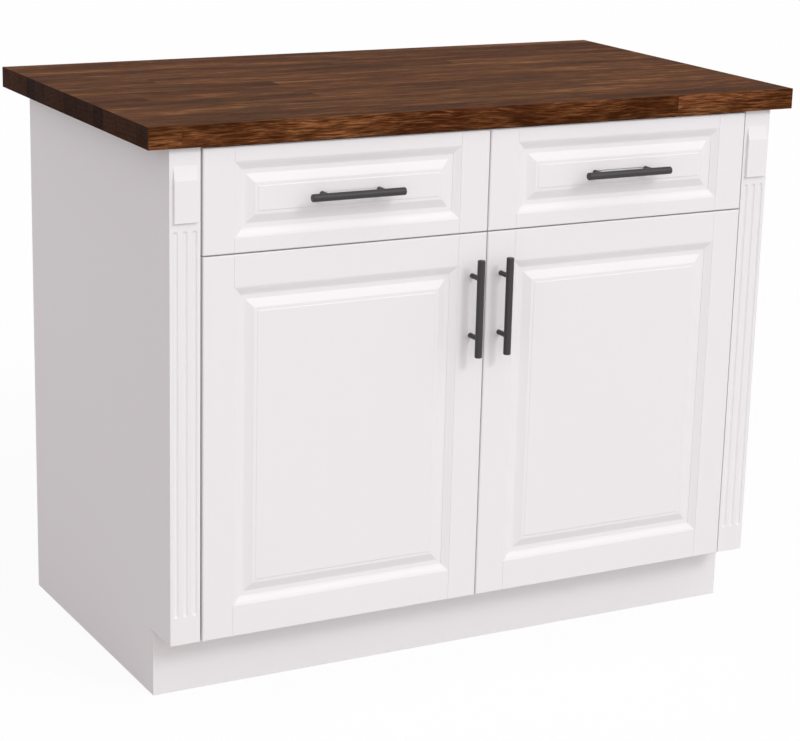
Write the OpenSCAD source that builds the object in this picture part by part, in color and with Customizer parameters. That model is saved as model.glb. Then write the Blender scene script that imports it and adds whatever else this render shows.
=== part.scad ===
// Kitchen island unit: a white raised-panel base cabinet with two drawers over
// two doors, fluted fillers, a recessed toe kick and a plank-jointed wooden worktop.
// Millimetres, +Z up, X along the front (left is -X), fronts face -Y.
// Origin: on the floor, in the middle of the whole unit's width and depth.

/* [Cabinet] */
// Width of the cabinet over its two end panels
case_w = 1067; // [960:1:1300]
// Height of the cabinet from the floor to the underside of the worktop
case_h = 876; // [830:1:940]
// Depth from the front edges of the panels to the back
case_d = 581; // [520:1:640]
// Thickness of the boards inside the cabinet
board_t = 16; // [15:0.5:19]
// Thickness of the finished end panels
end_t = 16; // [12:0.5:19]
// Thickness of the finished back panel
back_t = 6; // [4:0.5:12]
// Depth of the cleats that carry each end panel
cleat_d = 40; // [36:1:60]
// Width of the two top stretchers
stretcher_w = 80; // [60:1:110]
// Depth of the rail between drawers and doors
mid_rail_w = 70; // [40:1:100]

/* [Toe space] */
// Height of the toe space under the doors
toe_h = 108; // [90:1:120]
// How far the toe kick board sits behind the face of the fillers
toe_recess = 70; // [50:1:90]
// Thickness of the toe kick board
kick_t = 12; // [9:0.5:18]
// Gap over the toe kick board
kick_gap = 1; // [0.5:0.1:3]

/* [Worktop] */
// Thickness of the worktop
top_t = 33; // [25:0.5:40]
// How far the worktop passes each end panel
top_side = 36; // [10:1:50]
// How far the worktop passes the fillers at the front
top_front = 10; // [0:0.5:30]
// How far the worktop passes the back
top_back = 29; // [5:1:60]

/* [Fluted fillers] */
// Width of each filler
filler_w = 49; // [45:0.5:60]
// Thickness of each filler
filler_t = 19; // [16:0.5:22]
// Number of flutes
flute_n = 3; // [1:1:3]
// Distance between flute centres
flute_pitch = 15; // [12:0.5:16]
// Width of one flute
flute_w = 8; // [5:0.5:10]
// Depth of one flute
flute_d = 2.2; // [1.5:0.1:4]
// Plain length under the flutes
flute_foot = 48; // [20:1:120]
// Plain length between the flutes and the block
flute_head = 16; // [8:1:60]
// Height of the raised block
block_h = 85; // [60:1:120]
// Distance from the block's top to the filler's top
block_drop = 27; // [10:1:60]
// Margin beside the block
block_edge = 6; // [4:0.5:10]
// How far the block stands proud
block_t = 5; // [3:0.5:8]
// Height of the slope at the block's top
block_slope = 22; // [5:1:40]
// Bevel on the block's lower front edge
block_ease = 1; // [0.5:0.1:2]

/* [Fronts] */
// Gap between neighbouring fronts
front_gap = 2; // [1.6:0.1:4]
// Gap between a front and its filler, where the door's edge swings
filler_gap = 3; // [3:0.1:5]
// Gap between a closed front and the cabinet's edges
rest_gap = 3; // [3:0.1:4]
// Gap between the drawer fronts and the worktop
top_gap = 3; // [2:0.1:6]
// Thickness of the stiles and rails
front_t = 19; // [18:0.5:22]
// Height of a drawer front
drawer_front_h = 160; // [150:1:200]
// Width of the flat face of a stile
stile_w = 50; // [46:1:60]
// Width of the flat face of a door rail
door_rail_w = 50; // [40:1:70]
// Width of the flat face of a drawer rail
drawer_rail_w = 23; // [18:0.5:26]
// Bevel on the outer edges of a front
ease = 1.4; // [1.4:0.1:2]
// Width of the moulding along the frame's inner edge
stick_w = 12; // [9:0.5:14]
// Depth of that moulding
stick_d = 5.4; // [4:0.1:6]
// Step at the moulding's outer edge
quirk = 0.8; // [0.5:0.1:1.5]
// Depth from the frame's face to the panel groove
groove_y = 6.2; // [5.8:0.1:7]
// Width of the panel groove
groove_w = 5; // [4:0.1:6]
// Depth of the panel groove
groove_d = 9; // [6:0.5:10]
// Clearance of the panel in its groove, each side
groove_fit = 0.1; // [0.05:0.01:0.3]
// Clearance of the panel's edges in the groove
groove_end = 1; // [0.5:0.1:2]
// Flat margin around the raised part of a panel
margin_w = 8; // [4:0.5:12]
// Width of the raised part's sloping edge
bevel_w = 13; // [8:0.5:16]
// Rise of that sloping edge
bevel_h = 5.3; // [3.5:0.1:5.6]
// Width of the ledge inside the sloping edge
ledge_w = 5; // [2:0.5:8]
// How far the panel's field lies behind the frame's face
field_y = 0; // [0:0.1:2]

/* [Pulls] */
// Diameter of the bar
bar_d = 12; // [10:0.5:14]
// Length of the bar
bar_l = 156; // [130:1:200]
// Distance between the two posts
post_gap = 96; // [64:32:128]
// Diameter of a post
post_d = 8; // [7:0.5:9]
// Distance from the front to the bar's axis
bar_out = 28; // [24:0.5:34]
// Bevel on the bar's ends
bar_ease = 0.8; // [0.3:0.1:1.5]
// Distance from a door's meeting edge to its pull
pull_in = 25; // [20:0.5:30]
// Distance from a door's top to the middle of its pull
pull_drop = 115; // [100:1:160]
// Diameter of a pull screw
pull_screw_d = 4; // [3.5:0.1:4.5]
// Depth of the thread in a post
post_thread = 12; // [8:0.5:16]

/* [Hinges] */
// Distance from a door's end to its hinge
hinge_end = 90; // [70:1:130]
// Diameter of the hinge cup
cup_d = 35; // [35:0.5:36]
// Depth of the hinge cup
cup_deep = 14.1; // [13.5:0.1:14.5]
// Distance from a door's hinge edge to the cup's rim
cup_edge = 4.5; // [4:0.1:5]
// Wall of the hinge cup
cup_wall = 1; // [0.8:0.1:1.2]
// Thickness of the cup's flange and screw wings
flange_t = 1; // [0.8:0.1:1.2]
// Width of the cup's screw wings
wing_w = 16; // [12:0.5:18]
// Reach of a screw wing above and below the cup's centre
wing_reach = 26; // [22:0.5:30]
// Distance from a door's hinge edge to the hinge pin
pin_in = 9; // [8.8:0.1:9.4]
// Distance from a door's face to the hinge pin
pin_back = 8.8; // [8.8:0.1:9.2]
// Diameter of the hinge pin
pin_d = 3; // [2.5:0.1:3.2]
// Radial running clearance of the hinge pin
pin_run = 0.05; // [0.03:0.01:0.1]
// Wall of the eye around the hinge pin
eye_wall = 1.05; // [0.9:0.05:1.2]
// Thickness of the hinge arm
arm_t = 2; // [1.5:0.1:2]
// Width of the hinge arm
arm_w = 14; // [10:0.5:16]
// Width of the arm's eye and of the link that reaches it
eye_w = 8; // [6:0.5:8.5]
// How far the link's middle lies in front of the pin's axis
link_low = 0.5; // [0.3:0.1:0.8]
// Reach of the arm from the pin to its straight run
arm_reach = 13; // [12.5:0.1:13.5]
// Set-back of the mounting plate from the panel's front edge
plate_set = 20; // [16:0.5:28]
// Length of the mounting plate
plate_l = 36; // [30:1:44]
// Height of the mounting plate
plate_h = 44; // [32:1:50]

/* [Drawer boxes] */
// Thickness of the drawer box walls
wall_t = 12; // [10:0.5:15]
// Thickness of the drawer bottom
bottom_t = 6; // [4:0.5:8]
// Height of the drawer bottom over the lower edges of the walls
bottom_up = 8; // [6:0.5:12]
// Depth of the groove that holds the drawer bottom
bottom_in = 6; // [4:0.5:7]
// Clear height under a drawer box
drawer_low = 12; // [8:0.5:20]
// Clear height over a drawer box
drawer_high = 21.5; // [12:0.5:30]
// Depth left free behind the drawer boxes
drawer_rear = 75; // [40:1:120]

/* [Drawer slides] */
// Thickness of a closed slide
slide_t = 12.7; // [12.5:0.1:13.5]
// Height of a slide
slide_h = 45; // [42:0.5:46]
// Thickness of the slide's sheet metal
slide_metal = 1.2; // [1:0.1:1.5]
// Running clearance between slide members
slide_run = 0.3; // [0.25:0.05:0.5]
// Height of the slide's centre over the drawer box's lower edge
slide_up = 40; // [32:0.5:50]
// Set-back of a slide from the panel's front edge
slide_set = 4; // [2:0.5:10]
// Depth of the cabinet's slide member
fixed_reach = 9.5; // [9:0.1:10]
// Distance from the cabinet's face to the middle member
middle_off = 3.5; // [3:0.1:4]
// Depth of the middle member's open edges off the cabinet's face
middle_reach = 10.5; // [10:0.1:11]
// Distance from the cabinet's face to the open edges of the drawer's member
drawer_reach = 6; // [5.5:0.1:7]

/* [Shelf] */
// Height of the shelf over the bottom panel
shelf_up = 280; // [200:1:350]
// Gap between the shelf and each side
shelf_gap = 1; // [0.5:0.1:2]
// Set-back of the shelf from the front edges
shelf_set = 24; // [20:1:60]
// Gap behind the shelf
shelf_rear = 3; // [1:0.5:10]
// Diameter of a shelf pin
shelf_pin_d = 5; // [5:0.5:6]
// Depth of a shelf pin's hole
pin_hole = 9; // [7:0.5:10]
// Room left behind a shelf pin in its hole
pin_spare = 1; // [0.5:0.1:2]
// How far a shelf pin stands out
pin_out = 8; // [6:0.5:12]
// Diameter of a shelf pin's collar
collar_d = 5.6; // [5.4:0.1:6.4]
// Thickness of a shelf pin's collar
collar_t = 1; // [0.8:0.1:1.5]
// Distance between holes in a row
hole_pitch = 32; // [25:1:40]
// Number of holes on each side of the one in use
hole_n = 3; // [1:1:4]
// Distance of the hole rows from the front edge and from the back
row_in = 60; // [50:1:90]
// Radial clearance of the shelf pins and screws in their holes
hole_fit = 0.1; // [0.05:0.01:0.25]

/* [Screws and bumpers] */
// Diameter of a fixing screw
screw_d = 4; // [3.5:0.5:5]
// Length of a fixing screw under its head
screw_l = 30; // [26:1:34]
// Diameter of every screw head
head_d = 8; // [7:0.5:9]
// Thickness of every screw head
head_t = 2.5; // [2:0.1:3]
// Distance of the worktop screws from the sides
top_screw_in = 120; // [60:1:200]
// Height of the lower side screws over the bottom panel's underside
side_screw_low = 200; // [140:1:240]
// Drop of the upper side screws from the cabinet's top
side_screw_high = 48; // [44:1:52]
// Diameter of a bumper
bumper_d = 6; // [5:0.5:6]
// Clearance between a bumper and the closed front
bumper_gap = 0.3; // [0.3:0.1:0.5]
// Distance of the bumpers from the sides of the fronts
bumper_in = 40; // [30:1:60]

/* [Hidden] */
$fn = 48;
// Enough to break through a face that is cut
cut = 1;

// Depth, front to back
pull_reach = bar_out + bar_d / 2;
front_proud = rest_gap + front_t - filler_t;
fore = max(top_front, front_proud + pull_reach);
aft = filler_t + case_d + top_back;
y_filler = (fore - aft) / 2;
y_case = y_filler + filler_t;
y_back = y_case + case_d;
y_inner_back = y_back - back_t;
y_front_back = y_case - rest_gap;
y_front = y_front_back - front_t;
y_kick = y_filler + toe_recess;

// Width, from the middle outwards
x_end = case_w / 2;
x_filler = x_end - filler_w;
x_side = x_filler - filler_gap / 2;
x_inner = x_side - board_t;
x_front = front_gap / 2;
front_w = x_filler - filler_gap - x_front;

// Height
z_floor_board = toe_h + board_t;
z_drawer = case_h - top_gap - drawer_front_h;
z_split = z_drawer - front_gap / 2;
door_h = z_drawer - front_gap - toe_h;
z_rail_low = z_split - board_t / 2;
z_rail_top = z_split + board_t / 2;
z_stretcher = case_h - board_t;
z_shelf = z_floor_board + shelf_up;

// Frame and panel
frame_in = stile_w + stick_w;
panel_back = groove_y + groove_w - groove_fit;
panel_edge = groove_d - groove_end;
// Width of the step at the moulding's outer edge, and of the one around the field
step_w = 0.8;
// Rise of the ledge across its width
ledge_rise = 0.3;
// Facets across the moulding's shallow S
stick_steps = 8;

// Depth that the filler's raised block shares with its board
block_root = 2;

// Drawer box
box_x = board_t / 2 + slide_t;
box_w = x_inner - slide_t - box_x;
box_z = z_rail_top + drawer_low;
box_h = z_stretcher - drawer_high - box_z;
box_l = y_inner_back - drawer_rear - y_front_back;

// Slides, with the half heights of their three nested members
slide_z = box_z + slide_up;
slide_l = y_front_back + box_l - y_case - slide_set;
half_fixed = slide_h / 2;
half_middle = half_fixed - slide_metal - slide_run;
half_drawer = half_middle - slide_metal - slide_run;

// Pulls
door_pull_z = toe_h + door_h - pull_drop;
drawer_pull_z = z_drawer + drawer_front_h / 2;
screw_r = pull_screw_d / 2;

// Hinge, right-hand door
pin_x = x_front + front_w - pin_in;
pin_y = y_front + pin_back;
cup_x = x_front + front_w - cup_edge - cup_d / 2;
arm_x = pin_x - arm_reach;
hinge_zs = [toe_h + hinge_end, toe_h + door_h - hinge_end];
bore_r = pin_d / 2 + pin_run;
eye_r = bore_r + eye_wall;

// ---------------------------------------------------------------- helpers

// Children drawn for the right-hand side, or mirrored to the left
module sided(side) {
    if (side < 0)
        mirror([1, 0, 0]) children();
    else
        children();
}

// A profile of [y, z] points run along X from x0 for a length
module along_x(x0, length) {
    translate([x0, 0, 0])
        rotate([90, 0, 90])
            linear_extrude(height = length) children();
}

// A box from one corner to another
module span(lo, hi) {
    translate(lo) cube(hi - lo);
}

// A round bar along Y
module y_rod(x, y0, z, length, r) {
    translate([x, y0, z]) rotate([-90, 0, 0]) cylinder(h = length, r = r);
}

// A round bar along +X
module x_rod(x0, y, z, length, r) {
    translate([x0, y, z]) rotate([0, 90, 0]) cylinder(h = length, r = r);
}

// ---------------------------------------------------------------- fronts

// Section of a frame piece: [across, depth], outer edge at 0, face at depth 0
function frame_section(flat) = let (inner = flat + stick_w) concat(
    [[0, front_t - ease], [0, ease], [ease, 0], [flat, 0], [flat, quirk]],
    [for (i = [0 : stick_steps])
        let (t = i / stick_steps)
            [flat + step_w + t * (stick_w - step_w),
             quirk + (stick_d - quirk) * (t + (1 - cos(180 * t)) / 2) / 2]],
    [[inner, groove_y], [inner - groove_d, groove_y],
     [inner - groove_d, groove_y + groove_w], [inner, groove_y + groove_w],
     [inner, front_t], [ease, front_t]]
);

// Section of a raised panel across its width: [across, depth]
function panel_section(width) = let (
    flat = panel_edge + margin_w,
    slope = flat + bevel_w,
    ledge = slope + ledge_w,
    y_tongue = groove_y + groove_fit,
    y_slope = y_tongue - bevel_h,
    half = [
        [0, panel_back], [0, y_tongue], [flat, y_tongue], [slope, y_slope],
        [ledge, y_slope - ledge_rise], [ledge + step_w, field_y]
    ]
) concat(half, [for (i = [len(half) - 1 : -1 : 0]) [width - half[i][0], half[i][1]]]);

// Everything inside a front's bevelled outline, top and bottom
module front_outline(width, height) {
    along_x(0, width)
        polygon([
            [ease, 0], [front_t - ease, 0], [front_t, ease], [front_t, height - ease],
            [front_t - ease, height], [ease, height], [0, height - ease], [0, ease]
        ]);
}

// Upright frame piece, outer edge at x = 0
module stile(width, height) {
    intersection() {
        linear_extrude(height = height) polygon(frame_section(stile_w));
        front_outline(width, height);
    }
}

// The same piece at the other end of a front
module far_stile(width, height) {
    translate([width, 0, 0]) mirror([1, 0, 0]) stile(width, height);
}

// Level frame piece at the foot of a front, shaped to fit over both stiles
module foot_rail(width, height, rail_w) {
    difference() {
        along_x(stile_w, width - 2 * stile_w)
            polygon([for (p = frame_section(rail_w)) [p[1], p[0]]]);
        linear_extrude(height = height) polygon(frame_section(stile_w));
        translate([width, 0, 0])
            mirror([1, 0, 0])
                linear_extrude(height = height) polygon(frame_section(stile_w));
    }
}

// The same piece at the top of a front
module head_rail(width, height, rail_w) {
    translate([0, 0, height]) mirror([0, 0, 1]) foot_rail(width, height, rail_w);
}

// Raised panel, held in the frame's grooves
module raised_panel(width, height, rail_w) {
    x0 = frame_in - panel_edge;
    z0 = rail_w + stick_w - panel_edge;
    panel_w = width - 2 * x0;
    panel_h = height - 2 * z0;
    translate([x0, 0, z0])
        intersection() {
            linear_extrude(height = panel_h) polygon(panel_section(panel_w));
            along_x(0, panel_w)
                polygon([for (p = panel_section(panel_h)) [p[1], p[0]]]);
        }
}

// Puts a front's pieces in place, from its own corner
module at_drawer_front() {
    translate([x_front, y_front, z_drawer]) children();
}

module at_door() {
    translate([x_front, y_front, toe_h]) children();
}

// ---------------------------------------------------------------- pulls

// Bar with two posts, standing on y = 0, bar level along X
module bar_pull() {
    difference() {
        union() {
            x_rod(bar_ease - bar_l / 2, -bar_out, 0, bar_l - 2 * bar_ease, bar_d / 2);
            for (end = [-1, 1])
                translate([end * (bar_l / 2 - bar_ease), -bar_out, 0])
                    rotate([0, end * 90, 0])
                        cylinder(h = bar_ease, r1 = bar_d / 2, r2 = bar_d / 2 - bar_ease);
            for (x = [-1, 1] * post_gap / 2)
                y_rod(x, -bar_out, 0, bar_out, post_d / 2);
        }
        for (x = [-1, 1] * post_gap / 2)
            y_rod(x, -post_thread, 0, post_thread + cut, screw_r + hole_fit / 2);
    }
}

// Holes for a pull's screws, through everything behind y = 0
module pull_holes(length) {
    for (x = [-1, 1] * post_gap / 2)
        y_rod(x, -cut, 0, length + 2 * cut, screw_r + hole_fit);
}

// Two pull screws with their heads behind depth y = grip
module pull_screw_pair(grip) {
    for (x = [-1, 1] * post_gap / 2) {
        y_rod(x, cut - post_thread, 0, post_thread - cut + grip, screw_r);
        y_rod(x, grip, 0, head_t, head_d / 2);
    }
}

// Pull positions, standing on the drawer's panel and on the door's stile
module at_drawer_pull() {
    translate([x_front + front_w / 2, y_front + field_y, drawer_pull_z]) children();
}

module at_door_pull() {
    translate([x_front + pull_in, y_front, door_pull_z]) rotate([0, 90, 0]) children();
}

// ---------------------------------------------------------------- drawers

module drawer_outer_stile(side) {
    color("white") sided(side) at_drawer_front() far_stile(front_w, drawer_front_h);
}

module drawer_inner_stile(side) {
    color("white") sided(side) at_drawer_front() stile(front_w, drawer_front_h);
}

module drawer_top_rail(side) {
    color("white")
        sided(side) at_drawer_front() head_rail(front_w, drawer_front_h, drawer_rail_w);
}

module drawer_bottom_rail(side) {
    color("white")
        sided(side) at_drawer_front() foot_rail(front_w, drawer_front_h, drawer_rail_w);
}

module drawer_front_panel(side) {
    color("white")
        sided(side)
            difference() {
                at_drawer_front() raised_panel(front_w, drawer_front_h, drawer_rail_w);
                at_drawer_pull() pull_holes(front_t);
            }
}

// Board that closes the drawer from below, seated in the grooves of the walls
module drawer_bottom(side) {
    edge = wall_t - bottom_in;
    color("burlywood")
        sided(side)
            span([box_x + edge, y_front_back + edge, box_z + bottom_up],
                 [box_x + box_w - edge, y_front_back + box_l - edge,
                  box_z + bottom_up + bottom_t]);
}

module drawer_box_sides(side) {
    color("burlywood")
        difference() {
            sided(side)
                for (x = [box_x, box_x + box_w - wall_t])
                    span([x, y_front_back, box_z],
                         [x + wall_t, y_front_back + box_l, box_z + box_h]);
            drawer_bottom(side);
        }
}

module drawer_box_ends(side) {
    color("burlywood")
        difference() {
            sided(side)
                for (y = [y_front_back, y_front_back + box_l - wall_t])
                    span([box_x + wall_t, y, box_z],
                         [box_x + box_w - wall_t, y + wall_t, box_z + box_h]);
            drawer_bottom(side);
            sided(side) at_drawer_pull() pull_holes(front_t + wall_t);
        }
}

module drawer_pull(side) {
    color("dimgray") sided(side) at_drawer_pull() bar_pull();
}

module drawer_pull_screws(side) {
    color("silver")
        sided(side)
            at_drawer_pull() pull_screw_pair(front_t - field_y + wall_t);
}

// ---------------------------------------------------------------- drawer slides

// Channel of half height half, from depth s0 to s1 off the cabinet's face,
// with its web at the s0 end, or at the s1 end when flipped
module channel(half, s0, s1, flipped) {
    web = flipped ? s1 - slide_metal : s0;
    difference() {
        span([s0, 0, -half], [s1, slide_l, half]);
        span([flipped ? s0 - cut : web + slide_metal, -cut, slide_metal - half],
             [flipped ? web : s1 + cut, slide_l + cut, half - slide_metal]);
    }
}

// Both slides of one drawer: depth 0 lies on the cabinet's face on each side
module slide_pair(side) {
    sided(side) {
        translate([board_t / 2, y_case + slide_set, slide_z]) children();
        translate([x_inner, y_case + slide_set, slide_z]) mirror([1, 0, 0]) children();
    }
}

module cabinet_slide_members() {
    color("lightgray")
        for (side = [-1, 1])
            slide_pair(side) channel(half_fixed, 0, fixed_reach, false);
}

module drawer_middle_slides(side) {
    color("lightgray")
        slide_pair(side) channel(half_middle, middle_off, middle_reach, false);
}

module drawer_slide_members(side) {
    color("lightgray")
        slide_pair(side) channel(half_drawer, drawer_reach, slide_t, true);
}

// ---------------------------------------------------------------- doors

module door_hinge_stile(side) {
    color("white")
        sided(side)
            difference() {
                at_door() far_stile(front_w, door_h);
                for (z = hinge_zs)
                    y_rod(cup_x, y_front_back - cup_deep, z, cup_deep + cut,
                          cup_d / 2 + hole_fit);
            }
}

module door_meeting_stile(side) {
    color("white")
        sided(side)
            difference() {
                at_door() stile(front_w, door_h);
                at_door_pull() pull_holes(front_t);
            }
}

module door_top_rail(side) {
    color("white") sided(side) at_door() head_rail(front_w, door_h, door_rail_w);
}

module door_bottom_rail(side) {
    color("white") sided(side) at_door() foot_rail(front_w, door_h, door_rail_w);
}

module door_panel(side) {
    color("white") sided(side) at_door() raised_panel(front_w, door_h, door_rail_w);
}

module door_pull(side) {
    color("dimgray") sided(side) at_door_pull() bar_pull();
}

module door_pull_screws(side) {
    color("silver") sided(side) at_door_pull() pull_screw_pair(front_t);
}

// ---------------------------------------------------------------- hinges

// Cup pressed into the door, with its screw wings and the hinge pin across it
module hinge_cup(z) {
    difference() {
        union() {
            y_rod(cup_x, y_front_back - cup_deep, z, cup_deep + flange_t, cup_d / 2);
            span([cup_x - wing_w / 2, y_front_back, z - wing_reach],
                 [cup_x + wing_w / 2, y_front_back + flange_t, z + wing_reach]);
        }
        y_rod(cup_x, y_front_back - cup_deep + cup_wall, z,
              cup_deep + flange_t + cut, cup_d / 2 - cup_wall);
    }
    intersection() {
        translate([pin_x, pin_y, z - cup_d / 2]) cylinder(h = cup_d, r = pin_d / 2);
        y_rod(cup_x, y_front_back - cup_deep, z, cup_deep, (cup_d - cup_wall) / 2);
    }
}

module door_hinge_cups(side) {
    color("silver") sided(side) for (z = hinge_zs) hinge_cup(z);
}

// Cranked arm from the pin's eye to its mounting plate on the side panel
module hinge_arm(z) {
    y_link = pin_y - link_low - arm_t / 2;
    y_plate = y_case + plate_set;
    difference() {
        union() {
            translate([pin_x, pin_y, z - eye_w / 2]) cylinder(h = eye_w, r = eye_r);
            span([arm_x - arm_t / 2, y_link, z - eye_w / 2],
                 [pin_x, y_link + arm_t, z + eye_w / 2]);
            span([arm_x - arm_t / 2, y_link, z - arm_w / 2],
                 [arm_x + arm_t / 2, y_plate + plate_l, z + arm_w / 2]);
            span([arm_x + arm_t / 2, y_plate, z - plate_h / 2],
                 [x_inner, y_plate + plate_l, z + plate_h / 2]);
        }
        translate([pin_x, pin_y, z - eye_w / 2 - cut])
            cylinder(h = eye_w + 2 * cut, r = bore_r);
    }
}

module hinge_arms() {
    color("silver")
        for (side = [-1, 1])
            sided(side) for (z = hinge_zs) hinge_arm(z);
}

// ---------------------------------------------------------------- cabinet

// Space that the toe kick takes out of every upright panel
module toe_notch() {
    span([-x_end - cut, y_case - cut, -cut], [x_end + cut, y_kick + kick_t, toe_h]);
}

module worktop() {
    color("saddlebrown")
        difference() {
            span([-x_end - top_side, y_filler - top_front, case_h],
                 [x_end + top_side, y_back + top_back, case_h + top_t]);
            worktop_screws(hole_fit);
        }
}

module end_panel(side) {
    color("white")
        sided(side)
            difference() {
                span([x_end - end_t, y_case, 0], [x_end, y_inner_back, case_h]);
                toe_notch();
            }
}

// Rows of holes for the shelf pins, on the right-hand side panel
module pin_positions(count) {
    for (y = [y_case + row_in, y_inner_back - row_in])
        for (i = [-count : count])
            translate([x_inner, y, z_shelf - shelf_pin_d / 2 + i * hole_pitch])
                rotate([0, 90, 0]) children();
}

module side_panel(side) {
    color("ghostwhite")
        difference() {
            sided(side)
                difference() {
                    span([x_inner, y_case, 0], [x_side, y_inner_back, case_h]);
                    toe_notch();
                    pin_positions(hole_n)
                        translate([0, 0, -cut])
                            cylinder(h = pin_hole + cut, r = shelf_pin_d / 2 + hole_fit);
                }
            side_screws(hole_fit);
        }
}

// One flute: a round-bottomed groove with rounded ends
module flute(x) {
    r = (pow(flute_w / 2, 2) + pow(flute_d, 2)) / (2 * flute_d);
    z0 = toe_h + flute_foot;
    z1 = case_h - block_drop - block_h - flute_head;
    translate([x, y_filler + flute_d - r, 0]) {
        translate([0, 0, z0]) cylinder(h = z1 - z0, r = r);
        translate([0, 0, z0]) sphere(r = r);
        translate([0, 0, z1]) sphere(r = r);
    }
}

// Fluted board with its raised block, flush with the end panel's outer face
module filler(side) {
    middle = x_filler + filler_w / 2;
    z1 = case_h - block_drop;
    z0 = z1 - block_h;
    color("white")
        sided(side) {
            difference() {
                span([x_filler, y_filler, toe_h], [x_end, y_case, case_h]);
                for (i = [0 : flute_n - 1])
                    flute(middle + (i - (flute_n - 1) / 2) * flute_pitch);
            }
            along_x(x_filler + block_edge, filler_w - 2 * block_edge)
                polygon([
                    [y_filler + block_root, z0], [y_filler + block_root, z1],
                    [y_filler, z1], [y_filler - block_t, z1 - block_slope],
                    [y_filler - block_t, z0 + block_ease],
                    [y_filler - block_t + block_ease, z0]
                ]);
        }
}

// Strips between each side panel and its end panel, front and back
module side_cleats() {
    color("burlywood")
        difference() {
            for (side = [-1, 1])
                sided(side)
                    for (y = [y_case, y_inner_back - cleat_d])
                        span([x_side, y, toe_h], [x_end - end_t, y + cleat_d, case_h]);
            side_screws(hole_fit);
        }
}

module bottom_panel() {
    color("ghostwhite")
        span([-x_inner, y_case, toe_h], [x_inner, y_inner_back, z_floor_board]);
}

module back_panel() {
    color("white") span([-x_end, y_inner_back, 0], [x_end, y_back, case_h]);
}

module top_stretchers() {
    color("ghostwhite")
        difference() {
            for (y = [y_case, y_inner_back - stretcher_w])
                span([-x_inner, y, z_stretcher], [x_inner, y + stretcher_w, case_h]);
            worktop_screws(hole_fit);
        }
}

module mid_rail() {
    color("ghostwhite")
        span([-x_inner, y_case, z_rail_low], [x_inner, y_case + mid_rail_w, z_rail_top]);
}

module drawer_divider() {
    color("ghostwhite")
        span([-board_t / 2, y_case, z_rail_top], [board_t / 2, y_inner_back, z_stretcher]);
}

module toe_kick_board() {
    color("white")
        span([-x_end, y_kick, 0], [x_end, y_kick + kick_t, toe_h - kick_gap]);
}

module shelf() {
    color("ghostwhite")
        span([shelf_gap - x_inner, y_case + shelf_set, z_shelf],
             [x_inner - shelf_gap, y_inner_back - shelf_rear, z_shelf + board_t]);
}

module shelf_pins() {
    color("silver")
        for (side = [-1, 1])
            sided(side)
                pin_positions(0) {
                    translate([0, 0, -pin_out])
                        cylinder(h = pin_out + pin_hole - pin_spare, r = shelf_pin_d / 2);
                    translate([0, 0, -collar_t]) cylinder(h = collar_t, r = collar_d / 2);
                }
}

// Screw standing on z = 0 with its head below, grown by a clearance for its hole
module fixing_screw(grow) {
    cylinder(h = screw_l + grow, r = screw_d / 2 + grow);
    if (grow == 0)
        translate([0, 0, -head_t]) cylinder(h = head_t, r = head_d / 2);
}

// Through the stretchers up into the worktop
module worktop_screws(grow) {
    for (x = [-1, 1] * (x_inner - top_screw_in))
        for (y = [y_case + stretcher_w / 2, y_inner_back - stretcher_w / 2])
            translate([x, y, z_stretcher]) fixing_screw(grow);
}

// Through the side panels into the cleats
module side_screws(grow) {
    for (side = [-1, 1])
        sided(side)
            for (y = [y_case + cleat_d / 2, y_inner_back - cleat_d / 2])
                for (z = [toe_h + side_screw_low, case_h - side_screw_high])
                    translate([x_inner, y, z]) rotate([0, 90, 0]) fixing_screw(grow);
}

module fixing_screws() {
    color("silver") {
        worktop_screws(0);
        side_screws(0);
    }
}

// Clear pads that the closed fronts rest on
module bumpers() {
    far_x = x_front + front_w - bumper_in;
    near_x = x_front + bumper_in;
    overlap_z = (z_rail_low + toe_h + door_h) / 2;
    top_z = (z_stretcher + z_drawer + drawer_front_h) / 2;
    spots = [
        [near_x, toe_h + board_t / 2], [near_x, overlap_z], [near_x, top_z], [far_x, top_z]
    ];
    pad_t = rest_gap - bumper_gap;
    color("gainsboro")
        for (side = [-1, 1])
            sided(side)
                for (p = spots) y_rod(p[0], y_case - pad_t, p[1], pad_t, bumper_d / 2);
}

// ---------------------------------------------------------------- assembly

worktop();
end_panel(-1);  // end_panel_left
end_panel(1);  // end_panel_right
side_panel(-1);  // side_panel_left
side_panel(1);  // side_panel_right
filler(-1);  // filler_left
filler(1);  // filler_right
side_cleats();
bottom_panel();
back_panel();
top_stretchers();
mid_rail();
drawer_divider();
toe_kick_board();
shelf();
shelf_pins();
fixing_screws();
hinge_arms();
cabinet_slide_members();
bumpers();

drawer_outer_stile(-1);  // left_drawer_outer_stile
drawer_inner_stile(-1);  // left_drawer_inner_stile
drawer_top_rail(-1);  // left_drawer_top_rail
drawer_bottom_rail(-1);  // left_drawer_bottom_rail
drawer_front_panel(-1);  // left_drawer_front_panel
drawer_box_sides(-1);  // left_drawer_box_sides
drawer_box_ends(-1);  // left_drawer_box_ends
drawer_bottom(-1);  // left_drawer_bottom
drawer_slide_members(-1);  // left_drawer_slide_members
drawer_pull(-1);  // left_drawer_pull
drawer_pull_screws(-1);  // left_drawer_pull_screws
drawer_middle_slides(-1);  // left_drawer_middle_slides

drawer_outer_stile(1);  // right_drawer_outer_stile
drawer_inner_stile(1);  // right_drawer_inner_stile
drawer_top_rail(1);  // right_drawer_top_rail
drawer_bottom_rail(1);  // right_drawer_bottom_rail
drawer_front_panel(1);  // right_drawer_front_panel
drawer_box_sides(1);  // right_drawer_box_sides
drawer_box_ends(1);  // right_drawer_box_ends
drawer_bottom(1);  // right_drawer_bottom
drawer_slide_members(1);  // right_drawer_slide_members
drawer_pull(1);  // right_drawer_pull
drawer_pull_screws(1);  // right_drawer_pull_screws
drawer_middle_slides(1);  // right_drawer_middle_slides

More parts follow.
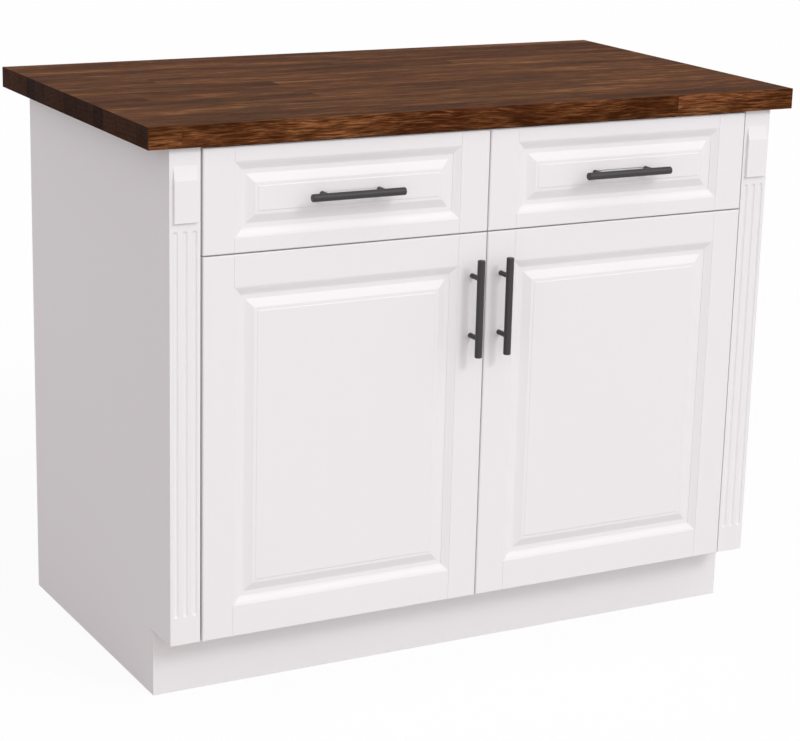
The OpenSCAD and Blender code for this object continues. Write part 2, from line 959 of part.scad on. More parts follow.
door_hinge_stile(-1);  // left_door_hinge_stile
door_meeting_stile(-1);  // left_door_meeting_stile
door_top_rail(-1);  // left_door_top_rail
door_bottom_rail(-1);  // left_door_bottom_rail
door_panel(-1);  // left_door_panel
door_hinge_cups(-1);  // left_door_hinge_cups
door_pull(-1);  // left_door_pull
door_pull_screws(-1);  // left_door_pull_screws

door_hinge_stile(1);  // right_door_hinge_stile
door_meeting_stile(1);  // right_door_meeting_stile
door_top_rail(1);  // right_door_top_rail
door_bottom_rail(1);  // right_door_bottom_rail
door_panel(1);  // right_door_panel
door_hinge_cups(1);  // right_door_hinge_cups
door_pull(1);  // right_door_pull
door_pull_screws(1);  // right_door_pull_screws
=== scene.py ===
# Looks of the kitchen island unit: satin white paint, a dark stained worktop of glued
# staves, matt black pulls, and what shows behind the doors and drawer fronts.
# Metres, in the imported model's own frame: +Z up, the fronts face -Y, left is -X.
import math

import bmesh
import bpy
from mathutils import Matrix, Quaternion, Vector


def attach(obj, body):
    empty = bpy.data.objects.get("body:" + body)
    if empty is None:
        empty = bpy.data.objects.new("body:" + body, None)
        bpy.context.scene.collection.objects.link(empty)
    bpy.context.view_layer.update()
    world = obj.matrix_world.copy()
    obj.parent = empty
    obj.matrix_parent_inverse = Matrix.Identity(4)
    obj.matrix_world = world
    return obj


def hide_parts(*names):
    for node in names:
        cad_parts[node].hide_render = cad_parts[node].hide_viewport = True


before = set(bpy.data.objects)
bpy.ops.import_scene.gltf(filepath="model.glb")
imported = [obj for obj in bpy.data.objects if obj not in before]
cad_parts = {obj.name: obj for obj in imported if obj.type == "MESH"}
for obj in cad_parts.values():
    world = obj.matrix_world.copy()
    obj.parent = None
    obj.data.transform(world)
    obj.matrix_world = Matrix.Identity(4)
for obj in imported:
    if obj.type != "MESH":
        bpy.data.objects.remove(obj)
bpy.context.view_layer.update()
MM = 0.001
WHITE = (1.0, 1.0, 1.0, 1.0)


# ------------------------------------------------------------------ node building

def rgb(red, green, blue):
    """A colour given as it shows on screen, 0 to 255, for a shader socket."""
    def linear(level):
        share = level / 255
        return share / 12.92 if share <= 0.04045 else ((share + 0.055) / 1.055) ** 2.4
    return (linear(red), linear(green), linear(blue), 1.0)


class Wiring:
    """Adds nodes to one tree; an input is given as a value or as the socket that feeds it."""

    def __init__(self, tree):
        self.tree = tree

    def add(self, kind, inputs=None, **settings):
        node = self.tree.nodes.new(kind)
        for name, value in settings.items():
            setattr(node, name, value)
        for name, value in (inputs or {}).items():
            self.feed(node.inputs[name], value)
        return node

    def feed(self, socket, value):
        if isinstance(value, bpy.types.NodeSocket):
            self.tree.links.new(value, socket)
        else:
            socket.default_value = value

    def maths(self, operation, a, b=0.0, clamp=False):
        node = self.add("ShaderNodeMath", {0: a, 1: b}, operation=operation, use_clamp=clamp)
        return node.outputs[0]

    def vector(self, operation, a, b):
        return self.add("ShaderNodeVectorMath", {0: a, 1: b}, operation=operation).outputs[0]

    def stretched(self, place, scale):
        """Coordinates stretched by a factor along each axis."""
        return self.vector("MULTIPLY", place, scale)

    def toned(self, colour, level):
        """A colour made lighter or darker as a whole."""
        node = self.add("ShaderNodeVectorMath", {0: colour, "Scale": level}, operation="SCALE")
        return node.outputs[0]

    def noise(self, place, scale=1.0, detail=2.0, roughness=0.5):
        inputs = {"Vector": place, "Scale": scale, "Detail": detail, "Roughness": roughness}
        return self.add("ShaderNodeTexNoise", inputs).outputs["Fac"]

    def swing(self, value, width):
        """A value from 0 to 1 turned into a swing about zero, as wide as is asked for."""
        return self.maths("MULTIPLY", self.maths("SUBTRACT", value, 0.5), width)

    def mix_values(self, share, first, second):
        """Two values mixed; share is how much of the second counts."""
        return self.add("ShaderNodeMix", {"Factor": share, "A": first, "B": second}).outputs[0]

    def between(self, value, low, high, to_low=0.0, to_high=1.0):
        """A value moved from one range to another and kept inside it."""
        inputs = {"Value": value, "From Min": low, "From Max": high, "To Min": to_low,
                  "To Max": to_high}
        return self.add("ShaderNodeMapRange", inputs, clamp=True).outputs["Result"]

    def mix(self, share, first, second, blend="MIX"):
        """Two colours mixed; share is how much of the second shows."""
        node = self.add("ShaderNodeMix", data_type="RGBA", blend_type=blend)
        self.feed(node.inputs[0], share)
        self.feed(node.inputs[6], first)
        self.feed(node.inputs[7], second)
        return node.outputs[2]

    def weigh(self, *parts):
        """Values added up, each with its own weight."""
        total = 0.0
        for value, weight in parts:
            total = self.maths("ADD", total, self.maths("MULTIPLY", value, weight))
        return total

    def ramp(self, value, stops):
        """Colours along a value, as pairs of place and colour."""
        node = self.add("ShaderNodeValToRGB", {"Fac": value})
        steps = node.color_ramp.elements
        while len(steps) < len(stops):
            steps.new(0.5)
        for step, (place, colour) in zip(steps, stops):
            step.position = place
            step.color = colour
        return node.outputs["Color"]


def effect(name, takes, gives):
    """A shader node group with named inputs and outputs, and the wiring inside it."""
    kinds = {"vector": "NodeSocketVector", "colour": "NodeSocketColor", "value": "NodeSocketFloat"}
    group = bpy.data.node_groups.new(name, "ShaderNodeTree")
    for label, kind, start in takes:
        socket = group.interface.new_socket(label, in_out="INPUT", socket_type=kinds[kind])
        if start is not None:
            socket.default_value = start
    for label, kind in gives:
        group.interface.new_socket(label, in_out="OUTPUT", socket_type=kinds[kind])
    wiring = Wiring(group)
    into = wiring.add("NodeGroupInput")
    out = wiring.add("NodeGroupOutput")
    return group, wiring, into.outputs, out.inputs


def finish(name, build):
    """A material whose Principled surface is set up by build(wiring, place, surface)."""
    material = bpy.data.materials.new(name)
    material.use_nodes = True
    tree = material.node_tree
    tree.nodes.clear()
    wiring = Wiring(tree)
    surface = wiring.add("ShaderNodeBsdfPrincipled")
    out = wiring.add("ShaderNodeOutputMaterial")
    wiring.feed(out.inputs["Surface"], surface.outputs[0])
    place = wiring.add("ShaderNodeTexCoord").outputs["Object"]
    build(wiring, place, surface)
    return material


def use(wiring, group, **inputs):
    """Places a shared effect; underscores in an input's name stand for spaces."""
    node = wiring.add("ShaderNodeGroup", node_tree=group)
    for name, value in inputs.items():
        wiring.feed(node.inputs[name.replace("_", " ")], value)
    return node.outputs


def raise_relief(wiring, surface, height, strength, depth):
    """Relief on a surface, of a real depth in metres."""
    inputs = {"Height": height, "Strength": strength, "Distance": depth}
    bump = wiring.add("ShaderNodeBump", inputs)
    wiring.feed(surface.inputs["Normal"], bump.outputs["Normal"])


# ------------------------------------------------------------------ shared effects

CLOUDS_PER_METRE = 5.0
SPECKS_PER_METRE = 900.0
SPECK_SHADE = 0.015
SPECK_RISE = 0.4


def make_film():
    """Sprayed or pressed coating: soft ripple, slow change of tone, a few fine specks."""
    group, w, given, out = effect(
        "coating_film",
        [("Place", "vector", None), ("Colour", "colour", (0.8, 0.8, 0.8, 1)),
         ("Ripple per metre", "value", 300.0), ("Tone change", "value", 0.02),
         ("Roughness", "value", 0.4), ("Roughness change", "value", 0.06)],
        [("Colour", "colour"), ("Roughness", "value"), ("Height", "value")])
    ripple = w.noise(given["Place"], given["Ripple per metre"], 3.0, 0.55)
    clouds = w.noise(given["Place"], CLOUDS_PER_METRE, 4.0, 0.6)
    specks = w.between(w.noise(given["Place"], SPECKS_PER_METRE, 1.0, 0.5), 0.70, 0.78)
    level = w.maths("ADD", w.swing(clouds, given["Tone change"]), 1.0)
    level = w.maths("SUBTRACT", level, w.maths("MULTIPLY", specks, SPECK_SHADE))
    w.feed(out["Colour"], w.toned(given["Colour"], level))
    shift = w.swing(clouds, given["Roughness change"])
    w.feed(out["Roughness"], w.maths("ADD", given["Roughness"], shift, clamp=True))
    w.feed(out["Height"], w.maths("ADD", ripple, w.maths("MULTIPLY", specks, SPECK_RISE)))
    return group


def make_grain():
    """Timber grain along X: bands, streaks, short flecks, fibres and open pores, each from
    0 to 1."""
    group, w, given, out = effect(
        "timber_grain",
        [("Place", "vector", None), ("Shift", "value", 0.0), ("Waviness", "value", 0.4)],
        [("Bands", "value"), ("Streaks", "value"), ("Flecks", "value"), ("Fibres", "value"),
         ("Pores", "value")])
    shifted = w.vector("ADD", given["Place"], w.stretched(given["Shift"], (3.7, 9.1, 5.3)))
    slow = w.noise(w.stretched(shifted, (7.0, 12.0, 12.0)), 1.0, 2.0)
    sway = w.swing(slow, given["Waviness"])
    bent = w.vector("ADD", shifted, w.stretched(sway, (0.0, 0.02, 0.02)))
    for name, scale, detail, low, high in (
            ("Bands", (3.0, 22.0, 26.0), 4.0, 0.36, 0.64),
            ("Streaks", (9.0, 80.0, 130.0), 4.0, 0.34, 0.66),
            ("Flecks", (26.0, 240.0, 420.0), 3.0, 0.34, 0.66),
            ("Fibres", (45.0, 1000.0, 1000.0), 3.0, 0.3, 0.7),
            ("Pores", (70.0, 1400.0, 1400.0), 1.0, 0.62, 0.72)):
        layer = w.noise(w.stretched(bent, scale), 1.0, detail, 0.6)
        w.feed(out[name], w.between(layer, low, high))
    return group


ROW_SLIP = 7.3
GLUE_LINE_REACH = 0.5 * MM


def make_staves():
    """Staves of a glued slab: a random value and the glue line for the stave at a place."""
    group, w, given, out = effect(
        "glued_staves",
        [("Place", "vector", None), ("Stave width", "value", 0.042),
         ("Stave length", "value", 0.9)],
        [("Pick", "value"), ("Glue line", "value")])
    axes = w.add("ShaderNodeSeparateXYZ", {0: given["Place"]}).outputs
    rows = w.maths("DIVIDE", axes["Y"], given["Stave width"])
    row = w.maths("FLOOR", rows)
    across = w.maths("SUBTRACT", rows, row)
    slip = w.add("ShaderNodeTexWhiteNoise", {"W": row}, noise_dimensions="1D").outputs["Value"]
    lengths = w.maths("DIVIDE", axes["X"], given["Stave length"])
    runs = w.maths("ADD", lengths, w.maths("MULTIPLY", slip, ROW_SLIP))
    run = w.maths("FLOOR", runs)
    along = w.maths("SUBTRACT", runs, run)
    key = w.add("ShaderNodeCombineXYZ", {"X": row, "Y": run}).outputs[0]
    pick = w.add("ShaderNodeTexWhiteNoise", {"Vector": key}, noise_dimensions="3D")
    side = w.maths("MULTIPLY", w.maths("PINGPONG", across, 0.5), given["Stave width"])
    end = w.maths("MULTIPLY", w.maths("PINGPONG", along, 0.5), given["Stave length"])
    nearest = w.maths("MINIMUM", side, end)
    w.feed(out["Pick"], pick.outputs["Value"])
    w.feed(out["Glue line"], w.between(nearest, 0.0, GLUE_LINE_REACH, 1.0, 0.0))
    return group


def make_rolled():
    """Rolled or brushed metal: fine lines along one direction and a slow change of sheen."""
    group, w, given, out = effect(
        "rolled_metal",
        [("Place", "vector", None), ("Stretch", "vector", (20.0, 20.0, 20.0)),
         ("Roughness", "value", 0.35), ("Roughness change", "value", 0.12)],
        [("Tone", "value"), ("Roughness", "value"), ("Height", "value")])
    lines = w.noise(w.stretched(given["Place"], given["Stretch"]), 1.0, 3.0, 0.6)
    clouds = w.noise(given["Place"], 18.0, 3.0, 0.6)
    shift = w.swing(clouds, given["Roughness change"])
    w.feed(out["Tone"], w.between(w.maths("ADD", lines, clouds), 0.7, 1.3, 0.88, 1.06))
    w.feed(out["Roughness"], w.maths("ADD", given["Roughness"], shift, clamp=True))
    w.feed(out["Height"], lines)
    return group


FILM = make_film()
GRAIN = make_grain()
STAVES = make_staves()
ROLLED = make_rolled()


# ------------------------------------------------------------------ finishes

def coat(w, place, surface, relief, depth, **values):
    """A coating film on a surface: its colour, its roughness and its fine relief."""
    film = use(w, FILM, Place=place, **values)
    w.feed(surface.inputs["Base Color"], film["Colour"])
    w.feed(surface.inputs["Roughness"], film["Roughness"])
    raise_relief(w, surface, film["Height"], relief, depth)


def white_paint(w, place, surface):
    """Sprayed satin lacquer on the fronts, fillers, end panels and toe kick."""
    coat(w, place, surface, relief=0.25, depth=0.06 * MM, Colour=rgb(240, 236, 237),
         Ripple_per_metre=420.0, Tone_change=0.018, Roughness=0.42, Roughness_change=0.08)
    surface.inputs["Specular IOR Level"].default_value = 0.25


def cabinet_interior(w, place, surface):
    """White melamine on the boards inside."""
    coat(w, place, surface, relief=0.2, depth=0.05 * MM, Colour=rgb(241, 236, 236),
         Ripple_per_metre=1400.0, Tone_change=0.02, Roughness=0.5, Roughness_change=0.05)
    surface.inputs["Specular IOR Level"].default_value = 0.3


def pull_black(w, place, surface):
    """Matt black powder coat on the pulls."""
    coat(w, place, surface, relief=0.35, depth=0.08 * MM, Colour=rgb(54, 50, 52),
         Ripple_per_metre=1500.0, Tone_change=0.12, Roughness=0.46, Roughness_change=0.1)
    surface.inputs["Specular IOR Level"].default_value = 0.4


def worktop_wood(w, place, surface):
    """Dark stained hardwood: long grain on the faces, end grain at the two ends, and a painted
    sheen that greys the top.
    """
    stave = use(w, STAVES, Place=place, Stave_width=0.0429, Stave_length=0.86)
    grain = use(w, GRAIN, Place=place, Shift=stave["Pick"], Waviness=1.0)
    facing = w.add("ShaderNodeTexCoord").outputs["Normal"]
    faces = w.add("ShaderNodeSeparateXYZ", {0: facing}).outputs
    on_edge = w.maths("ABSOLUTE", faces["Y"])
    coarse = w.mix_values(on_edge, grain["Streaks"], grain["Flecks"])
    blotch = w.noise(w.stretched(place, (7.0, 24.0, 24.0)), 1.0, 3.0, 0.6)
    stave_tone = w.mix_values(on_edge, stave["Pick"], w.between(blotch, 0.38, 0.62, -0.7, 0.9))
    tone = w.weigh((coarse, 0.32), (grain["Bands"], 0.28), (grain["Flecks"], 0.18),
                   (grain["Fibres"], 0.10), (stave_tone, 0.12))
    colour = w.ramp(w.between(tone, 0.22, 0.78), [
        (0.03, rgb(60, 29, 9)), (0.27, rgb(75, 41, 18)), (0.50, rgb(92, 54, 28)),
        (0.75, rgb(110, 68, 39)), (1.00, rgb(144, 94, 57))])
    rosy = w.noise(w.stretched(place, (1.5, 9.0, 9.0)), 1.0, 3.0, 0.6)
    colour = w.mix(w.between(rosy, 0.42, 0.62, 0.0, 0.5), colour, rgb(255, 226, 235), "MULTIPLY")
    # Painted sheen: the top face is tinted greyer and less red than the front edge, standing in
    # for the sheen a lit top shows.
    top_with_painted_sheen = w.mix(1.0, colour, (0.93, 1.0, 0.98, 1.0), "MULTIPLY")
    colour = w.mix(on_edge, top_with_painted_sheen, colour)
    colour = w.mix(w.maths("MULTIPLY", grain["Pores"], 0.5), colour, rgb(38, 20, 10))
    colour = w.mix(w.maths("MULTIPLY", stave["Glue line"], 0.5), colour, rgb(44, 25, 14))

    is_end = w.between(w.maths("ABSOLUTE", faces["X"]), 0.5, 0.8)
    rings_at = w.vector("ADD", place, w.stretched(stave["Pick"], (0.0, 0.31, 0.17)))
    rings = w.add("ShaderNodeTexWave", {
        "Vector": rings_at, "Scale": 42.0, "Distortion": 3.0, "Detail": 2.0, "Detail Scale": 1.4},
        wave_type="RINGS", rings_direction="X").outputs["Fac"]
    speckle = w.noise(place, 900.0, 2.0, 0.6)
    end_tone = w.weigh((rings, 0.15), (speckle, 0.2), (stave["Pick"], 0.65))
    end_colour = w.ramp(end_tone, [
        (0.15, rgb(33, 13, 4)), (0.5, rgb(48, 25, 12)), (0.85, rgb(66, 39, 23))])
    glue = w.maths("MULTIPLY", stave["Glue line"], 0.5)
    end_colour = w.mix(glue, end_colour, rgb(74, 54, 42))

    w.feed(surface.inputs["Base Color"], w.mix(is_end, colour, end_colour))
    rough = w.maths("ADD", 0.58, w.maths("MULTIPLY", grain["Streaks"], 0.14))
    w.feed(surface.inputs["Roughness"], rough)
    surface.inputs["Specular IOR Level"].default_value = 0.02
    relief = w.weigh((grain["Fibres"], 0.3), (grain["Flecks"], 0.5), (grain["Streaks"], 0.4),
                     (grain["Pores"], -0.5), (stave["Glue line"], -0.8))
    raise_relief(w, surface, relief, 0.7, 0.4 * MM)


def drawer_wood(w, place, surface):
    """Clear lacquered pale timber of the drawer boxes and cleats, grain along X."""
    grain = use(w, GRAIN, Place=place, Waviness=1.4)
    tone = w.weigh((grain["Streaks"], 0.5), (grain["Bands"], 0.5))
    colour = w.ramp(tone, [
        (0.1, rgb(196, 164, 122)), (0.5, rgb(216, 188, 147)), (0.9, rgb(228, 205, 168))])
    colour = w.mix(w.maths("MULTIPLY", grain["Pores"], 0.35), colour, rgb(158, 122, 82))
    w.feed(surface.inputs["Base Color"], colour)
    rough = w.maths("ADD", 0.42, w.maths("MULTIPLY", grain["Fibres"], 0.12))
    w.feed(surface.inputs["Roughness"], rough)
    surface.inputs["Specular IOR Level"].default_value = 0.3
    raise_relief(w, surface, w.maths("SUBTRACT", grain["Fibres"], grain["Pores"]), 0.3, 0.1 * MM)


def drawer_wood_lengthwise(w, place, surface):
    """The same timber with its grain from front to back, for the walls beside a drawer."""
    axes = w.add("ShaderNodeSeparateXYZ", {0: place}).outputs
    turned = w.add("ShaderNodeCombineXYZ", {"X": axes["Y"], "Y": axes["X"], "Z": axes["Z"]})
    drawer_wood(w, turned.outputs[0], surface)


def hardware_steel(w, place, surface):
    """Zinc plated steel of slides, hinges, screws and pins."""
    metal = use(w, ROLLED, Place=place, Stretch=(400.0, 40.0, 900.0), Roughness=0.34,
                Roughness_change=0.18)
    w.feed(surface.inputs["Base Color"], w.toned(rgb(196, 199, 202)[:3], metal["Tone"]))
    w.feed(surface.inputs["Roughness"], metal["Roughness"])
    surface.inputs["Metallic"].default_value = 1.0
    raise_relief(w, surface, metal["Height"], 0.2, 0.03 * MM)


def bumper_clear(w, place, surface):
    """Soft clear pads behind the fronts."""
    coat(w, place, surface, relief=0.2, depth=0.04 * MM, Colour=rgb(226, 228, 226),
         Ripple_per_metre=2500.0, Tone_change=0.05, Roughness=0.3, Roughness_change=0.1)
    surface.inputs["Transmission Weight"].default_value = 0.25


FINISHES = {
    build.__name__: finish(build.__name__, build)
    for build in (white_paint, cabinet_interior, pull_black, worktop_wood, drawer_wood,
                  drawer_wood_lengthwise, hardware_steel, bumper_clear)
}


# ------------------------------------------------------------------ edges of the pieces

JOIN_WITHIN = 0.01 * MM
SHARP_TURN = math.radians(12)
EASED_TURN = math.radians(15)
RAIL_SEAM = 0.45 * MM


def make_shading(name, seam=0.0):
    """Joins the faces of a piece and shades only its shallow turns smooth. A seam draws in
    the piece's two ends along X, so that a fine line shows where it meets the next piece."""
    tree = bpy.data.node_groups.new(name, "GeometryNodeTree")
    tree.interface.new_socket("Geometry", in_out="INPUT", socket_type="NodeSocketGeometry")
    tree.interface.new_socket("Geometry", in_out="OUTPUT", socket_type="NodeSocketGeometry")
    w = Wiring(tree)
    given = w.add("NodeGroupInput").outputs[0]
    plain = w.add("GeometryNodeRemoveAttribute", {"Geometry": given, "Name": "custom_normal"})
    joined = w.add("GeometryNodeMergeByDistance", {
        "Geometry": plain.outputs[0], "Distance": JOIN_WITHIN})
    inwards = w.stretched(w.add("GeometryNodeInputNormal").outputs[0], (-seam, 0.0, 0.0))
    drawn_in = w.add("GeometryNodeSetPosition", {"Geometry": joined.outputs[0], "Offset": inwards})
    turn = w.add("GeometryNodeInputMeshEdgeAngle").outputs[0]
    sharp = w.add("FunctionNodeCompare", operation="GREATER_THAN")
    w.feed(sharp.inputs[0], turn)
    w.feed(sharp.inputs[1], SHARP_TURN)
    smooth = w.add("GeometryNodeSetShadeSmooth", {
        "Geometry": drawn_in.outputs[0], "Shade Smooth": True}, domain="FACE")
    crisp = w.add("GeometryNodeSetShadeSmooth", {
        "Geometry": smooth.outputs[0], "Selection": sharp.outputs[0], "Shade Smooth": False},
        domain="EDGE")
    w.feed(w.add("NodeGroupOutput").inputs[0], crisp.outputs[0])
    return tree


SHADING = make_shading("join_and_shade")
RAIL_SHADING = make_shading("join_and_shade_rail", RAIL_SEAM)


def ease_edges(piece, width, steps):
    """Sanded or rolled edges, as wide as a real one, and seams at the ends of a front's rails."""
    is_rail = piece.name.endswith(("top_rail", "bottom_rail"))
    shading = piece.modifiers.new("join_and_shade", "NODES")
    shading.node_group = RAIL_SHADING if is_rail else SHADING
    bevel = piece.modifiers.new("eased_edges", "BEVEL")
    bevel.width = width
    bevel.segments = steps
    bevel.limit_method = "ANGLE"
    bevel.angle_limit = EASED_TURN
    bevel.harden_normals = True


EDGE_WIDTHS = {
    "white_paint": (0.5 * MM, 2),
    "cabinet_interior": (0.5 * MM, 2),
    "worktop_wood": (1.2 * MM, 3),
    "drawer_wood": (0.8 * MM, 2),
    "pull_black": (0.3 * MM, 2),
    "hardware_steel": (0.15 * MM, 1),
    "bumper_clear": (0.6 * MM, 3),
}

for name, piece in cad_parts.items():
    slot = piece.material_slots[0].material.name.split(".")[0]
    lengthwise = name.endswith("_box_sides")
    piece.material_slots[0].material = FINISHES[slot + "_lengthwise" if lengthwise else slot]
    ease_edges(piece, *EDGE_WIDTHS[slot])


# ------------------------------------------------------------------ screws

# A head's rings, its dome and the arms of its cross recess, as shares of its radius and height
HEAD_RINGS = (0.0, 0.12, 0.20, 0.28, 0.38, 0.48, 0.56, 0.62, 0.76, 0.88, 0.96, 1.0)
DOME_FALL = 0.5
RECESS_REACH = 0.60
RECESS_ARM = 0.14
RECESS_DEPTH = 0.75
SCREW_FACETS = 32
SCREW_TURN = 0.7
FIXING_HEAD_H = 2.5 * MM
LEVEL_WITHIN = 0.05 * MM
WELD_WITHIN = 0.001 * MM


def solids_of(node):
    """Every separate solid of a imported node, as the list of its corners."""
    build = bmesh.new()
    build.from_mesh(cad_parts[node].data)
    bmesh.ops.remove_doubles(build, verts=build.verts, dist=WELD_WITHIN)
    reached = set()
    solids = []
    for start in build.verts:
        if start in reached:
            continue
        reached.add(start)
        front = [start]
        corners = []
        while front:
            corner = front.pop()
            corners.append(corner.co.copy())
            for edge in corner.link_edges:
                other = edge.other_vert(corner)
                if other not in reached:
                    reached.add(other)
                    front.append(other)
        solids.append(corners)
    build.free()
    return solids


def extent(corners):
    """Lowest and highest corner of a solid's box."""
    lowest = Vector([min(corner[axis] for corner in corners) for axis in range(3)])
    highest = Vector([max(corner[axis] for corner in corners) for axis in range(3)])
    return lowest, highest


def head_height(share, across, up):
    """Height of a domed head, as a share of its full height, with the cross recess cut in."""
    dome = 1.0 - DOME_FALL * share ** 4
    if share <= RECESS_REACH and min(abs(across), abs(up)) < RECESS_ARM:
        dome -= RECESS_DEPTH * (1.0 - 0.5 * share / RECESS_REACH)
    return dome


def add_screw(build, place, facing, head_r, head_h, shank_r, shank_l, twist):
    """One cross-recessed screw: place is the middle of its head's underside. Without a
    shank it is a head alone, closed underneath."""
    turn = Vector(facing).to_track_quat("Z", "Y").to_matrix().to_4x4()
    stand = Matrix.Translation(place) @ turn @ Matrix.Rotation(twist, 4, "Z")
    rings = [(share, None) for share in HEAD_RINGS] + [(1.0, 0.0)]
    if shank_l:
        rings += [(shank_r / head_r, 0.0), (shank_r / head_r, -shank_l / head_h)]
    rings.append((0.0, -shank_l / head_h))
    loops = []
    for share, height in rings:
        loop = []
        for step in range(SCREW_FACETS if share else 1):
            angle = math.tau * step / SCREW_FACETS
            across, up = share * math.cos(angle), share * math.sin(angle)
            level = head_height(share, across, up) if height is None else height
            corner = Vector((across * head_r, up * head_r, level * head_h))
            loop.append(build.verts.new(stand @ corner))
        loops.append(loop)
    for inner, outer in zip(loops, loops[1:]):
        for step in range(SCREW_FACETS):
            after = (step + 1) % SCREW_FACETS
            corners = [inner[step % len(inner)], outer[step % len(outer)],
                       outer[after % len(outer)], inner[after % len(inner)]]
            build.faces.new(list(dict.fromkeys(corners)))


def drive_screws(name, body, spots, head_r, head_h, shank_r=0.0, shank_l=0.0,
                 stands_for=None):
    """Screws of one size on one body, each given as its place and the way its head faces."""
    build = bmesh.new()
    for count, (place, facing) in enumerate(spots):
        twist = SCREW_TURN * count
        add_screw(build, place, facing, head_r, head_h, shank_r, shank_l, twist)
    bmesh.ops.recalc_face_normals(build, faces=build.faces)
    mesh = bpy.data.meshes.new(name)
    build.to_mesh(mesh)
    build.free()
    mesh.materials.append(FINISHES["hardware_steel"])
    screws = bpy.data.objects.new(name, mesh)
    bpy.context.scene.collection.objects.link(screws)
    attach(screws, body)
    if stands_for:
        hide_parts(stands_for)


def widest_at(corners, axis, level):
    """How far a solid reaches from its middle line at one level along its axis."""
    lowest, highest = extent(corners)
    middle = (lowest + highest) / 2
    others = [other for other in range(3) if other != axis]
    return max(sum(abs(corner[other] - middle[other]) for other in others)
               for corner in corners if abs(corner[axis] - level) < LEVEL_WITHIN)


def screws_in_place(node, body):
    """Cross-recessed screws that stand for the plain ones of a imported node."""
    spots = []
    for corners in solids_of(node):
        lowest, highest = extent(corners)
        size = highest - lowest
        axis = max(range(3), key=lambda direction: size[direction])
        high, low = highest[axis], lowest[axis]
        head_is_high = widest_at(corners, axis, high) > widest_at(corners, axis, low)
        facing = Vector((0.0, 0.0, 0.0))
        facing[axis] = 1.0 if head_is_high else -1.0
        place = (lowest + highest) / 2
        place[axis] = (high if head_is_high else low) - facing[axis] * FIXING_HEAD_H
        spots.append((place, facing))
        head_r = min(size[other] for other in range(3) if other != axis) / 2
        shank_l = size[axis] - FIXING_HEAD_H
    drive_screws(node + "_crossed", body, spots, head_r, FIXING_HEAD_H, head_r / 2, shank_l, node)


def side_of(value):
    """Which side of the middle an X lies on: 1 for the right, -1 for the left."""
    return 1.0 if value > 0 else -1.0


# Radius and height of the small heads
CUP_HEAD = (3.4 * MM, 1.4 * MM)
PLATE_HEAD = (3.6 * MM, 1.6 * MM)
ARM_HEAD = (3.0 * MM, 1.2 * MM)
SLIDE_HEAD = (3.6 * MM, 1.0 * MM)

CUP_SCREW_OUT = 21.5 * MM
PLATE_SCREW_OUT = 15.0 * MM
ARM_SCREW_OUT = 9.0 * MM
PLATE_MIDDLE = 18.0 * MM
ARM_T = 2.0 * MM
SLIDE_METAL = 1.2 * MM
SLIDE_SCREWS_ALONG = (0.08, 0.38, 0.86)


def fit_hinge_screws():
    """Two screws in the wings of each cup, two in each mounting plate and two on each arm."""
    for side in ("left", "right"):
        spots = []
        for corners in solids_of(side + "_door_hinge_cups"):
            lowest, highest = extent(corners)
            middle = (lowest + highest) / 2
            for reach in (-CUP_SCREW_OUT, CUP_SCREW_OUT):
                spots.append((Vector((middle.x, highest.y, middle.z + reach)), (0, 1, 0)))
        drive_screws(side + "_hinge_cup_screws", side + "_door", spots, *CUP_HEAD)
    plate_spots, arm_spots = [], []
    for corners in solids_of("hinge_arms"):
        lowest, highest = extent(corners)
        hand = side_of(lowest.x)
        face = min(abs(lowest.x), abs(highest.x))
        plate_y = highest.y - PLATE_MIDDLE
        middle = (lowest.z + highest.z) / 2
        inwards = (-hand, 0, 0)
        for way in (-1, 1):
            plate_spot = Vector((hand * (face + ARM_T), plate_y, middle + way * PLATE_SCREW_OUT))
            arm_spot = Vector((hand * face, plate_y + way * ARM_SCREW_OUT, middle))
            plate_spots.append((plate_spot, inwards))
            arm_spots.append((arm_spot, inwards))
    drive_screws("hinge_plate_screws", "cabinet", plate_spots, *PLATE_HEAD)
    drive_screws("hinge_arm_screws", "cabinet", arm_spots, *ARM_HEAD)


def fit_slide_screws():
    """Three flat screws along each slide member that is fixed to a drawer box."""
    for side in ("left", "right"):
        spots = []
        boxes = [extent(corners) for corners in solids_of(side + "_drawer_slide_members")]
        centre = sum((lowest.x + highest.x) / 2 for lowest, highest in boxes) / len(boxes)
        for lowest, highest in boxes:
            outwards = side_of(lowest.x - centre)
            web = lowest.x if outwards > 0 else highest.x
            length = highest.y - lowest.y
            for share in SLIDE_SCREWS_ALONG:
                place = Vector((web + outwards * SLIDE_METAL, lowest.y + share * length,
                                (lowest.z + highest.z) / 2))
                spots.append((place, (outwards, 0, 0)))
        drive_screws(side + "_slide_screws", side + "_drawer", spots, *SLIDE_HEAD)


screws_in_place("fixing_screws", "cabinet")
for front in ("left_drawer", "right_drawer", "left_door", "right_door"):
    screws_in_place(front + "_pull_screws", front)
fit_hinge_screws()
fit_slide_screws()


# ------------------------------------------------------------------ studio

CAMERA_PLACE = Vector((-1.787, -3.316, 1.458))
CAMERA_AIM = Vector((0.0149, 0.004, 0.4078))
CAMERA_ROLL = math.radians(1.455)
LENS_MM = 103.25
SENSOR_MM = 36.0
FAR_CLIP = 50.0


def place_camera():
    """The photo's view, a little rolled as the photo is."""
    data = bpy.data.cameras.new("photo_view")
    data.lens = LENS_MM
    data.sensor_width = SENSOR_MM
    data.clip_end = FAR_CLIP
    camera = bpy.data.objects.new("photo_view", data)
    camera.location = CAMERA_PLACE
    level = (CAMERA_AIM - CAMERA_PLACE).to_track_quat("-Z", "Y")
    camera.rotation_mode = "QUATERNION"
    camera.rotation_quaternion = level @ Quaternion((0, 0, 1), CAMERA_ROLL)
    bpy.context.scene.collection.objects.link(camera)
    bpy.context.scene.camera = camera


def seen_directly(w):
    """1 for rays that show a surface to the viewer: straight, mirrored or through clear pads."""
    path = w.add("ShaderNodeLightPath").outputs
    seen = w.maths("MAXIMUM", path["Is Camera Ray"], path["Is Glossy Ray"])
    return w.maths("MAXIMUM", seen, path["Is Transmission Ray"])


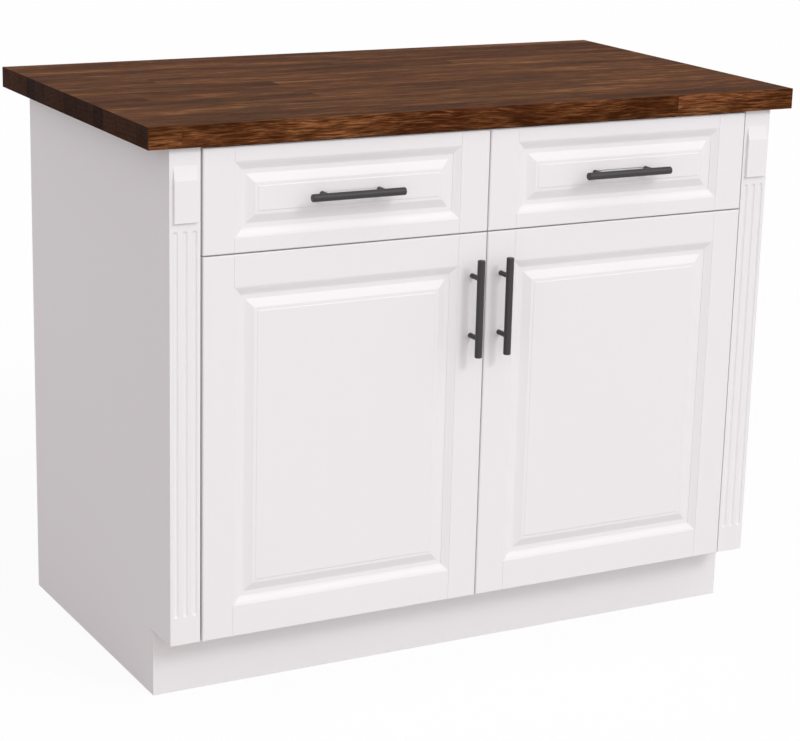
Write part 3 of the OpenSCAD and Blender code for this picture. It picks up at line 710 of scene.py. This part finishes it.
FLOOR_REACH = 14.0
FLOOR_DROP = 0.4 * MM
FLOOR_WHITE = 1.15
FLOOR_WHITE_SHARE = 0.78
FLOOR_GREY = rgb(188, 188, 188)


def lay_floor():
    """A pale floor that keeps the object's shadow."""
    mesh = bpy.data.meshes.new("floor")
    build = bmesh.new()
    bmesh.ops.create_grid(build, x_segments=1, y_segments=1, size=FLOOR_REACH)
    build.to_mesh(mesh)
    build.free()
    floor = bpy.data.objects.new("floor", mesh)
    floor.location.z = -FLOOR_DROP
    bpy.context.scene.collection.objects.link(floor)
    material = bpy.data.materials.new("pale_floor")
    material.use_nodes = True
    material.node_tree.nodes.clear()
    w = Wiring(material.node_tree)
    matt = w.add("ShaderNodeBsdfDiffuse", {"Color": FLOOR_GREY})
    white = w.add("ShaderNodeEmission", {"Color": WHITE, "Strength": FLOOR_WHITE})
    share = w.maths("MULTIPLY", seen_directly(w), FLOOR_WHITE_SHARE)
    both = w.add("ShaderNodeMixShader", {"Fac": share, 1: matt.outputs[0], 2: white.outputs[0]})
    out = w.add("ShaderNodeOutputMaterial")
    w.feed(out.inputs["Surface"], both.outputs[0])
    mesh.materials.append(material)


AMBIENT_LEVEL = 0.57
AMBIENT_TINT = (1.0, 0.945, 0.968, 1.0)


def light_room():
    """Even light from all round, and a white background behind the object."""
    world = bpy.data.worlds.new("studio")
    bpy.context.scene.world = world
    world.use_nodes = True
    world.node_tree.nodes.clear()
    w = Wiring(world.node_tree)
    seen = seen_directly(w)
    colour = w.mix(seen, AMBIENT_TINT, WHITE)
    strength = w.between(seen, 0.0, 1.0, AMBIENT_LEVEL, 1.0)
    back = w.add("ShaderNodeBackground", {"Color": colour, "Strength": strength})
    out = w.add("ShaderNodeOutputWorld")
    w.feed(out.inputs["Surface"], back.outputs[0])


def hang_lamp(name, direction, strength, softness, tint=WHITE[:3]):
    """A broad soft lamp far off, shining along a direction; softness is in degrees."""
    data = bpy.data.lights.new(name, "SUN")
    data.energy = strength
    data.angle = math.radians(softness)
    data.color = tint
    lamp = bpy.data.objects.new(name, data)
    lamp.rotation_mode = "QUATERNION"
    lamp.rotation_quaternion = Vector(direction).to_track_quat("-Z", "Y")
    bpy.context.scene.collection.objects.link(lamp)


place_camera()
lay_floor()
light_room()
hang_lamp("key_softbox", (-0.30, 0.754, -0.585), 0.66, 13, (0.935, 1.0, 0.975))
hang_lamp("large_softbox", (-0.40, 0.72, -0.56), 0.76, 75, (0.935, 1.0, 0.975))
hang_lamp("front_softbox", (0.46, 0.87, -0.16), 0.69, 50, (1.0, 0.97, 0.99))
hang_lamp("back_softbox", (0.12, -0.98, -0.10), 0.36, 40)

bpy.context.scene.view_settings.view_transform = "Standard"
